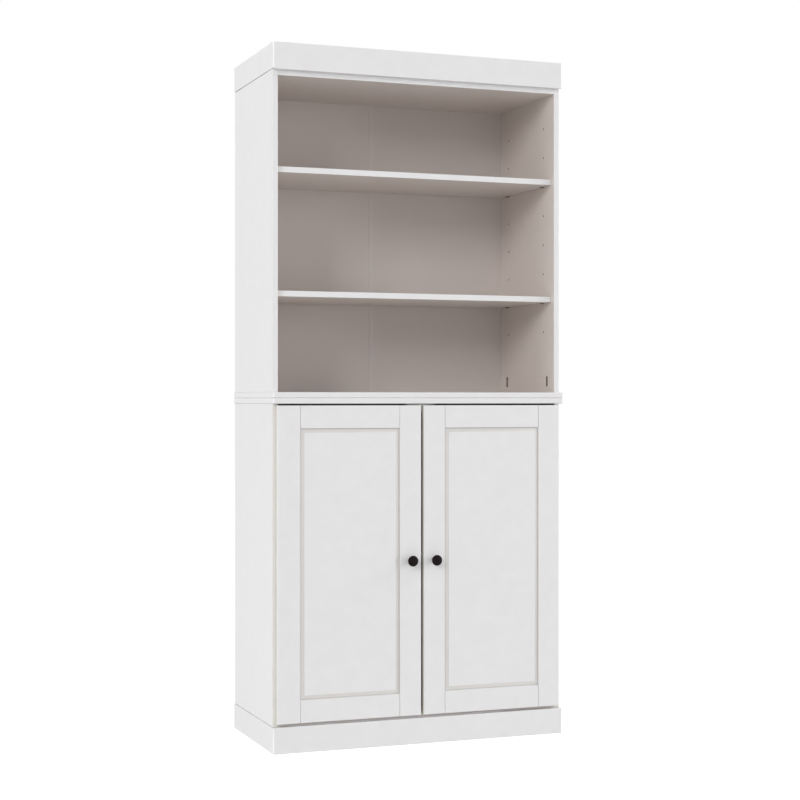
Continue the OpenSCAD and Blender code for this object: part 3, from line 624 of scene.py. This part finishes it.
class BOOKCASE_OT_frames(bpy.types.Operator):
    """Crown and plinth: a front board mitred to two returns, with a rail across the back"""

    bl_idname = "bookcase.frames"
    bl_label = "Crown and plinth"

    def execute(self, context):
        sizes = context.scene.bookcase_sizes
        for part, under, over in (("crown", sizes.crown_seam, 0), ("plinth", 0, sizes.plinth_seam)):
            low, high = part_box(f"{part}_front")
            left, right = low, Vector((high.x, low.y, low.z))
            self.board(context, f"{part}_front", "X", [(left, (-1, 1, 0)), (right, (1, 1, 0))])
            self.board(context, f"{part}_left_return", "Y", [(left, (1, -1, 0))], under, over)
            self.board(context, f"{part}_right_return", "Y", [(right, (-1, -1, 0))], under, over)
            rail = welded(f"{part}_back_rail")
            ease(rail, arrises(rail, shortest=50 * MM, straight=True), sizes.board_arris)
            make_piece(rail, f"{part}_back_rail", finish_of(context, "lacquer", "X"))
        return {"FINISHED"}

    def board(self, context, node, grain, mitres, under=0.0, over=0.0):
        """A board with its outer corners rounded, sawn at each mitre's point towards its waste. Joints may
        stay open under and over it."""
        sizes = context.scene.bookcase_sizes
        low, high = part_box(node)
        low.z += under
        high.z -= over
        bm = slab(low, high)
        corners = [
            edge
            for edge in bm.edges
            if any(all((vert.co - point).xy.length < WELD for vert in edge.verts) for point, _ in mitres)
        ]
        ease(bm, corners, sizes.corner, segments=6)
        ease(bm, arrises(bm), sizes.board_arris)
        # painted highlight: the rounded corners take a lighter tone
        paint_highlight(bm, slot=1)
        for point, waste in mitres:
            saw(bm, point, waste)
        make_piece(bm, node, finish_of(context, "lacquer", grain), finish_of(context, "rubbed", grain))


class BOOKCASE_OT_boards(bpy.types.Operator):
    """Sides, floors, tops and waist boards, with their holes, slots and grooves"""

    bl_idname = "bookcase.boards"
    bl_label = "Case boards"

    def execute(self, context):
        for part in ("base", "hutch"):
            self.board(context, f"{part}_left_side", "Z", (1, 0, 0))
            self.board(context, f"{part}_right_side", "Z", (-1, 0, 0))
        self.board(context, "base_bottom_board", "X", (0, 0, 1))
        self.board(context, "hutch_top_board", "X", (0, 0, -1))
        self.board(context, "base_top_board", "X", (0, 0, -1), waist=True)
        self.board(context, "hutch_bottom_board", "X", (0, 0, 1), waist=True)
        return {"FINISHED"}

    def board(self, context, node, grain, inwards, waist=False):
        """A board with painted shade, a darker and warmer tone, on its face inwards. A waist board's ends
        are eased too.
        """
        sizes = context.scene.bookcase_sizes
        bm = welded(node)
        edges = arrises(bm, shortest=100 * MM, straight=True)
        if waist:
            ends = {corner.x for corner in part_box(node)}
            edges += [
                edge
                for edge in arrises(bm)
                if edge not in edges and any(all(abs(v.co.x - x) < WELD for v in edge.verts) for x in ends)
            ]
        ease(bm, edges, sizes.waist_arris if waist else sizes.board_arris)
        if waist:
            # painted highlight: the rounded corners take a lighter tone
            paint_highlight(bm, PAINTED_HIGHLIGHT)
            self.split_at_case(bm)
        self.paint_inner_shade(bm, Vector(inwards))
        self.leave_bare(bm, *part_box(node))
        make_piece(bm, node, *(finish_of(context, kind, grain) for kind in BOARD_FINISHES))

    def case(self):
        """The inner faces of the cupboard's sides, their front and their top."""
        low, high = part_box("base_left_side")
        return high.x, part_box("base_right_side")[0].x, low.y, high.z

    def split_at_case(self, bm):
        """Parts a waist board's faces where the case ends, so that the painted shade inside the case can
        end there.
        """
        left, right, front, _ = self.case()
        split(bm, (0, front, 0), (0, 1, 0))
        split(bm, (left, 0, 0), (1, 0, 0))
        split(bm, (right, 0, 0), (1, 0, 0))

    def paint_inner_shade(self, bm, inwards):
        """Paints shade onto the faces that look into the case, as a darker and warmer tone, and onto the
        front faces in the gaps round the doors: that tone on floors and tops, a warmer tint on the sides.
        """
        left, right, front, top = self.case()
        for face in bm.faces:
            centre = face.calc_center_median()
            within = left - MM < centre.x < right + MM and centre.y > front
            in_front = abs(centre.y - front) < WELD and centre.z < top
            # painted shade: faces that look into the case take the darker inner tone
            if face.normal.dot(inwards) > 0.9 and within:
                face.material_index = PAINTED_INNER_SHADE
            elif face.normal.y < -0.9 and in_front:
                # painted shade: front faces in the gaps take the darker inner tone on floors and tops, the
                # warmer tint on the sides
                face.material_index = PAINTED_INNER_SHADE if inwards.z else PAINTED_GAP_TINT

    def leave_bare(self, bm, low, high):
        """Leaves holes and pockets, the faces well inside the board's box, as raw wood, whose darker tones
        are partly painted shade. Those that are long in the board's own plane are the pockets'."""
        size = high - low
        plane = [i for i in range(3) if size[i] > min(size)]
        for face in bm.faces:
            centre = face.calc_center_median()
            if min(*(centre - low), *(high - centre)) > HOLE_DEPTH:
                small, large = box_of([vert.co for vert in face.verts])
                span = max((large - small)[i] for i in plane)
                face.material_index = POCKET if span > POCKET_SPAN else BORE


class BOOKCASE_OT_shelves(bpy.types.Operator):
    """The three loose shelves, with painted shade, a darker and warmer tone, on all but their front edges
    """

    bl_idname = "bookcase.shelves"
    bl_label = "Shelves"

    def execute(self, context):
        for node in ("base_shelf", "lower_hutch_shelf", "upper_hutch_shelf"):
            bm = slab(*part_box(node))
            ease(bm, arrises(bm), context.scene.bookcase_sizes.shelf_arris)
            for face in bm.faces:
                # painted shade: all faces but the front edge take the darker inner tone
                face.material_index = int(face.normal.y > -0.1)
            make_piece(bm, node, finish_of(context, "lacquer", "X"), finish_of(context, "painted_inner_shade", "X"))
        return {"FINISHED"}


class BOOKCASE_OT_backs(bpy.types.Operator):
    """The backs' two halves and the strips that join them"""

    bl_idname = "bookcase.backs"
    bl_label = "Backs"

    def execute(self, context):
        for part in ("base", "hutch"):
            for side in SIDES:
                dress(f"{part}_back_{side}", finish_of(context, "hardboard"))
            node = f"{part}_back_joiner"
            strip = welded(node)
            edges = arrises(strip, shortest=50 * MM, straight=True)
            ease(strip, edges, context.scene.bookcase_sizes.steel_arris)
            make_piece(strip, node, finish_of(context, "strip"))
        return {"FINISHED"}


class BOOKCASE_OT_doors(bpy.types.Operator):
    """Stiles, rails and raised panels of both doors, eased beside each joint"""

    bl_idname = "bookcase.doors"
    bl_label = "Doors"

    def execute(self, context):
        sizes = context.scene.bookcase_sizes
        for side in SIDES:
            for member, grain in GRAIN_OF.items():
                node = f"{side}_{member}"
                bm = welded(node)
                finishes = [finish_of(context, "lacquer", grain)]
                if grain == "X":
                    self.open_joints(bm, side, sizes.door_joint)
                ease(bm, arrises(bm, shortest=30 * MM, straight=True), sizes.door_arris)
                if member == "meeting_stile":
                    # painted shade: the meeting edge takes the warmer tint of the gap
                    self.mark_meeting_edge(bm, 1 if side == "left" else -1)
                    finishes.append(finish_of(context, "edge", grain))
                make_piece(bm, node, *finishes)
            self.panel(context, f"{side}_panel")
        return {"FINISHED"}

    def open_joints(self, bm, side, gap):
        """Draws a rail's shoulders back from the stiles."""
        stiles = [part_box(f"{side}_{kind}_stile") for kind in ("hinge", "meeting")]
        first, second = sorted(stiles, key=lambda box: box[0].x)
        for vert in bm.verts:
            if abs(vert.co.x - first[1].x) < WELD:
                vert.co.x += gap
            elif abs(vert.co.x - second[0].x) < WELD:
                vert.co.x -= gap

    def mark_meeting_edge(self, bm, towards):
        """Gives the face that looks along X at the other door the second finish, the warmer tint painted
        for the shade in the gap.
        """
        for face in bm.faces:
            face.material_index = int(face.normal.x * towards > 0.9)

    def panel(self, context, node):
        """A raised field with a bevel round it, whose faces take a darker tone as painted shade."""
        bm = welded(node)
        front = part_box(node)[0].y
        for face in bm.faces:
            # painted shade: the bevel, step and tongue faces take the darker bevel tone
            face.material_index = int(face.normal.y < 0.5 and face.calc_center_median().y > front + WELD)
        field = [edge for edge in arrises(bm) if all(abs(vert.co.y - front) < WELD for vert in edge.verts)]
        ease(bm, field, context.scene.bookcase_sizes.field, segments=2)
        make_piece(bm, node, finish_of(context, "lacquer", "Z"), finish_of(context, "glaze", "Z"))


class BOOKCASE_OT_knobs(bpy.types.Operator):
    """Round knobs with a foot ring, a waisted neck, a rolled rim and a low dome"""

    bl_idname = "bookcase.knobs"
    bl_label = "Knobs"

    def execute(self, context):
        for side in SIDES:
            node = f"{side}_knob"
            low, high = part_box(node)
            rim, tall = (high.x - low.x) / 2, high.y - low.y
            foot, neck = 0.53 * rim, 0.42 * rim
            ring, roll = 1.5 * MM, 1.6 * MM
            under, over = 0.3 * MM, 0.4 * MM  # chamfers of the foot ring
            waist, brim = 0.3 * tall, 0.74 * tall
            profile = [(0, 0), (foot - under, 0), (foot, under), (foot, ring - over), (foot - over, ring)]
            profile.append((neck, 2 * ring))
            profile += arc((rim - roll, waist), (neck - rim + roll, brim - waist - roll), 0, 80, 12)
            profile += arc((rim - roll, brim), roll, -60, 50, 8)
            edge_r, edge_z = profile[-1]
            profile += arc((0, edge_z), (edge_r, tall - edge_z), 8, 90, 12)
            bm = bmesh.new()
            put_on_back(bm, turned(profile, 64), low, high)
            make_piece(bm, node, finish_of(context, "knob"))
        return {"FINISHED"}


class BOOKCASE_OT_hinges(bpy.types.Operator):
    """Cup hinges: cups, pins, arms and the plates on the sides"""

    bl_idname = "bookcase.hinges"
    bl_label = "Hinges"

    def execute(self, context):
        nodes = ["hinge_plates"]
        for side in SIDES:
            nodes += [f"{side}_hinge_arms", f"{side}_hinge_cups"]
            dress(f"{side}_hinge_pins", finish_of(context, "nickel"))
        for node in nodes:
            bm = welded(node)
            edges = arrises(bm, shortest=2 * MM, straight=True)
            ease(bm, edges, context.scene.bookcase_sizes.steel_arris, segments=2)
            make_piece(bm, node, finish_of(context, "nickel"))
        return {"FINISHED"}


class BOOKCASE_OT_shelf_pins(bpy.types.Operator):
    """Shelf pins: a peg in its hole and a spoon under the shelf"""

    bl_idname = "bookcase.shelf_pins"
    bl_label = "Shelf pins"

    def execute(self, context):
        bm = welded("shelf_pins")
        reach = min(abs(v.co.x) for v in bm.verts)
        tips = [
            edge
            for edge in arrises(bm, straight=True)
            if all(abs(abs(v.co.x) - reach) < WELD for v in edge.verts)
            and abs(edge.verts[0].co.y - edge.verts[1].co.y) < WELD
        ]
        ease(bm, tips, context.scene.bookcase_sizes.spoon, segments=5)
        make_piece(bm, "shelf_pins", finish_of(context, "bronze"))
        return {"FINISHED"}


class BOOKCASE_OT_catch(bpy.types.Operator):
    """Magnetic catch under the waist, its strike plates on the doors and the bumpers"""

    bl_idname = "bookcase.catch"
    bl_label = "Catch and bumpers"

    def execute(self, context):
        sizes = context.scene.bookcase_sizes
        for node, kind, radius in (
            ("magnetic_catch", "plastic", sizes.plastic_arris),
            ("catch_magnets", "magnet", sizes.steel_arris),
            ("left_strike_plate", "zinc", sizes.steel_arris),
            ("right_strike_plate", "zinc", sizes.steel_arris),
        ):
            bm = welded(node)
            ease(bm, arrises(bm, shortest=0.9 * MM, straight=True), radius, segments=2)
            make_piece(bm, node, finish_of(context, kind))
        self.bumpers(context)
        return {"FINISHED"}

    def bumpers(self, context):
        """Round dots with a low dome on a straight foot."""
        bm = bmesh.new()
        for points in solids("door_bumpers"):
            low, high = box_of(points)
            radius, tall = (high.x - low.x) / 2, high.y - low.y
            foot = 0.3 * tall
            profile = [(0, 0), (radius, 0)] + arc((0, foot), (radius, tall - foot), 0, 90, 8)
            put_on_back(bm, turned(profile, 24), low, high)
        make_piece(bm, "door_bumpers", finish_of(context, "rubber"))


class BOOKCASE_OT_crown_fittings(bpy.types.Operator):
    """Wall bracket and corner blocks, out of sight in the crown and plinth"""

    bl_idname = "bookcase.crown_fittings"
    bl_label = "Bracket and blocks"

    def execute(self, context):
        sizes = context.scene.bookcase_sizes
        for node, kind, radius in (
            ("wall_bracket", "zinc", sizes.steel_arris),
            ("corner_blocks", "pine", sizes.board_arris),
        ):
            bm = welded(node)
            ease(bm, arrises(bm, shortest=15 * MM, straight=True), radius)
            make_piece(bm, node, finish_of(context, kind))
        return {"FINISHED"}


class BOOKCASE_OT_screws(bpy.types.Operator):
    """Screws with crossed slots in their heads, and the nails in the backs"""

    bl_idname = "bookcase.screws"
    bl_label = "Screws and nails"

    def execute(self, context):
        nodes = ["case_screws", "stacking_screws", "hardware_screws"]
        nodes += [f"{side}_{kind}" for side in SIDES for kind in ("knob_screw", "door_screws")]
        for node in nodes:
            self.driven(context, node, self.screw)
        self.driven(context, "back_nails", self.nail)
        return {"FINISHED"}

    def driven(self, context, node, maker):
        """Makes one fastener, for the first of a node's solids, and puts copies of it in their places."""
        bm = bmesh.new()
        mesh = None
        for points in solids(node):
            place, *shape = self.measure(points)
            mesh = mesh or maker(*shape)
            put(bm, mesh, place)
        make_piece(bm, node, finish_of(context, "zinc"))

    def measure(self, points):
        """Place with the point towards -Z and the seat of the head at 0, head radius and height, shank
        radius and length."""
        low, high = box_of(points)
        span, middle = high - low, (low + high) / 2
        along = max(range(3), key=lambda i: span[i])

        def radius(point):
            off = point - middle
            off[along] = 0
            return off.length

        head_r = max(map(radius, points))
        head = [p[along] for p in points if radius(p) > 0.98 * head_r]
        outwards = 1 if sum(head) / len(head) > middle[along] else -1
        seat, tip = (min(head), low[along]) if outwards > 0 else (max(head), high[along])
        shank_r = max(radius(p) for p in points if abs(p[along] - tip) < WELD)
        axis = Vector([outwards * (i == along) for i in range(3)])
        middle[along] = seat
        place = Matrix.Translation(middle) @ axis.to_track_quat("Z", "Y").to_matrix().to_4x4()
        return place, head_r, max(head) - min(head), shank_r, abs(seat - tip)

    def screw(self, head_r, head_t, shank_r, tall):
        """Pan head over a shank with a cone for its point."""
        tip_r, tip_t, cone = 0.3 * shank_r, 0.4 * shank_r, 2 * shank_r
        chamfer, lip = 0.1 * head_t, 0.3 * head_t
        profile = [(0, -tall), (tip_r, tip_t - tall), (shank_r, cone - tall), (shank_r, 0)]
        profile += [(head_r - chamfer, 0), (head_r, chamfer)]
        profile += arc((0, lip), (head_r, head_t - lip), 0, 90, 8)
        return self.crossed(turned(profile, 32), head_r, head_t)

    def nail(self, head_r, head_t, shank_r, tall):
        """Flat head over a shank with a short point."""
        cone, lip, slope = 2 * shank_r, 0.5 * head_t, 0.4 * head_t
        profile = [(0, -tall), (shank_r, cone - tall), (shank_r, 0), (head_r, 0), (head_r, lip)]
        return turned(profile + [(head_r - slope, head_t), (0, head_t)], 20)

    def crossed(self, mesh, head_r, head_t):
        """Cuts a crossed slot into a screw's head."""
        half, wide, deep = 0.56 * head_r, 0.13 * head_r, 0.55 * head_t
        bm = bmesh.new()
        for x, y in ((half, wide), (wide, half)):
            place = Matrix.LocRotScale(Vector((0, 0, head_t)), None, Vector((2 * x, 2 * y, 2 * deep)))
            bmesh.ops.create_cube(bm, size=1, matrix=place)
        cutter_mesh = bpy.data.meshes.new("cross")
        bm.to_mesh(cutter_mesh)
        bm.free()
        screw, cutter = (bpy.data.objects.new(m.name, m) for m in (mesh, cutter_mesh))
        for helper in (screw, cutter):
            bpy.context.scene.collection.objects.link(helper)
        slot = screw.modifiers.new("slot", "BOOLEAN")
        slot.operation = "DIFFERENCE"
        slot.solver = "EXACT"
        slot.use_self = True
        slot.object = cutter
        graph = bpy.context.evaluated_depsgraph_get()
        cut = bpy.data.meshes.new_from_object(screw.evaluated_get(graph))
        for helper in (screw, cutter):
            bpy.data.objects.remove(helper)
        return cut


# ---------------------------------------------------------------- stage


class BOOKCASE_OT_stage(bpy.types.Operator):
    """Pale floor, soft lights and the camera"""

    bl_idname = "bookcase.stage"
    bl_label = "Stage"

    def execute(self, context):
        stage = context.scene.bookcase_stage
        context.scene.view_settings.view_transform = "Standard"
        self.floor(stage)
        self.world(context, stage.sky[:])
        for name, (azimuth, elevation) in LIGHTS.items():
            self.softbox(f"{name}_light", azimuth, elevation, getattr(stage, name))
        self.camera(context, stage)
        return {"FINISHED"}

    def seen(self, tree):
        """1 where the camera, a gloss or clear plastic looks at it."""
        path = add(tree, "ShaderNodeLightPath").outputs
        seen = path["Is Camera Ray"]
        for ray in ("Is Glossy Ray", "Is Transmission Ray"):
            links = {0: seen, 1: path[ray]}
            seen = add(tree, "ShaderNodeMath", links=links, operation="MAXIMUM").outputs[0]
        return seen

    def floor(self, stage, reach=15):
        """A white floor that takes the bookcase's shadow."""
        bm = bmesh.new()
        bmesh.ops.create_grid(bm, x_segments=1, y_segments=1, size=reach)
        mesh = bpy.data.meshes.new("floor")
        bm.to_mesh(mesh)
        bm.free()
        floor = bpy.data.objects.new("floor", mesh)
        bpy.context.scene.collection.objects.link(floor)
        material = bpy.data.materials.new("matt_white_floor")
        material.use_nodes = True
        tree = material.node_tree
        tree.nodes.clear()
        plain = add(tree, "ShaderNodeBsdfDiffuse", {"Color": stage.floor[:]})
        glow = add(tree, "ShaderNodeEmission", {"Color": (1, 1, 1, 1), "Strength": stage.glow})
        shade = add(tree, "ShaderNodeBsdfDiffuse", {"Color": stage.shade[:]})
        shown = add(tree, "ShaderNodeAddShader", links={0: glow.outputs[0], 1: shade.outputs[0]})
        either = {0: self.seen(tree), 1: plain.outputs[0], 2: shown.outputs[0]}
        mix = add(tree, "ShaderNodeMixShader", links=either)
        add(tree, "ShaderNodeOutputMaterial", links={"Surface": mix.outputs[0]})
        mesh.materials.append(material)

    def world(self, context, sky):
        """A white dome over the floor lights the bookcase; nothing under the floor does."""
        world = bpy.data.worlds.new("studio")
        context.scene.world = world
        world.use_nodes = True
        tree = world.node_tree
        tree.nodes.clear()
        way = add(tree, "ShaderNodeTexCoord").outputs["Generated"]
        height = add(tree, "ShaderNodeSeparateXYZ", links={0: way}).outputs["Z"]
        horizon = {"From Min": -0.01, "From Max": 0.01}
        over = add(tree, "ShaderNodeMapRange", horizon, {"Value": height}).outputs[0]
        dome = two_tones(tree, over, [0, 0, 0, 1], list(sky))
        shown = two_tones(tree, self.seen(tree), dome, [1, 1, 1, 1])
        light = add(tree, "ShaderNodeBackground", {"Strength": 1.0}, {"Color": shown})
        add(tree, "ShaderNodeOutputWorld", links={"Surface": light.outputs[0]})

    def softbox(self, name, azimuth, elevation, watts, size=3.6, distance=12):
        """A square soft light that looks at the middle of the bookcase; azimuth 0 is straight in front."""
        data = bpy.data.lights.new(name, "AREA")
        data.shape, data.size, data.energy = "SQUARE", size, watts
        lamp = bpy.data.objects.new(name, data)
        bpy.context.scene.collection.objects.link(lamp)
        turn, rise = math.radians(azimuth), math.radians(elevation)
        away = Vector((math.sin(turn) * math.cos(rise), -math.cos(turn) * math.cos(rise), math.sin(rise)))
        lamp.location = MIDDLE + away * distance
        lamp.rotation_euler = (-away).to_track_quat("-Z", "Y").to_euler()

    def camera(self, context, stage):
        """A level camera that stands round to the left."""
        data = bpy.data.cameras.new("camera")
        data.lens, data.shift_y = stage.lens, stage.shift
        camera = bpy.data.objects.new("camera", data)
        context.scene.collection.objects.link(camera)
        back = Vector((-math.sin(stage.turn), -math.cos(stage.turn), 0))
        camera.location = AIM + back * stage.distance
        camera.rotation_euler = (math.radians(90), 0, -stage.turn)
        context.scene.camera = camera


STEPS = (
    BOOKCASE_OT_frames,
    BOOKCASE_OT_boards,
    BOOKCASE_OT_shelves,
    BOOKCASE_OT_backs,
    BOOKCASE_OT_doors,
    BOOKCASE_OT_knobs,
    BOOKCASE_OT_hinges,
    BOOKCASE_OT_shelf_pins,
    BOOKCASE_OT_catch,
    BOOKCASE_OT_crown_fittings,
    BOOKCASE_OT_screws,
    BOOKCASE_OT_stage,
)
GROUPS = {
    "bookcase_sizes": BOOKCASE_PG_sizes,
    "bookcase_colours": BOOKCASE_PG_colours,
    "bookcase_stage": BOOKCASE_PG_stage,
}


class BOOKCASE_PT_panel(bpy.types.Panel):
    """Lists the steps and their settings"""

    bl_idname = "BOOKCASE_PT_panel"
    bl_label = "Bookcase"
    bl_space_type = "VIEW_3D"
    bl_region_type = "UI"
    bl_category = "Bookcase"

    def draw(self, context):
        """A box for each group of settings, then a button for each step."""
        for name, group in GROUPS.items():
            box = self.layout.box()
            for setting in group.__annotations__:
                box.prop(getattr(context.scene, name), setting)
        for step in STEPS:
            self.layout.operator(step.bl_idname)


def register():
    """Makes the settings, the steps and the panel known."""
    for item in (*GROUPS.values(), *STEPS, BOOKCASE_PT_panel):
        bpy.utils.register_class(item)
    for name, group in GROUPS.items():
        setattr(bpy.types.Scene, name, PointerProperty(type=group))


def unregister():
    """Takes them away again."""
    for name in GROUPS:
        delattr(bpy.types.Scene, name)
    for item in reversed((*GROUPS.values(), *STEPS, BOOKCASE_PT_panel)):
        bpy.utils.unregister_class(item)


def main():
    """Runs every step in order."""
    register()
    for step in STEPS:
        group, name = step.bl_idname.split(".")
        getattr(getattr(bpy.ops, group), name)()


if __name__ == "__main__":
    main()
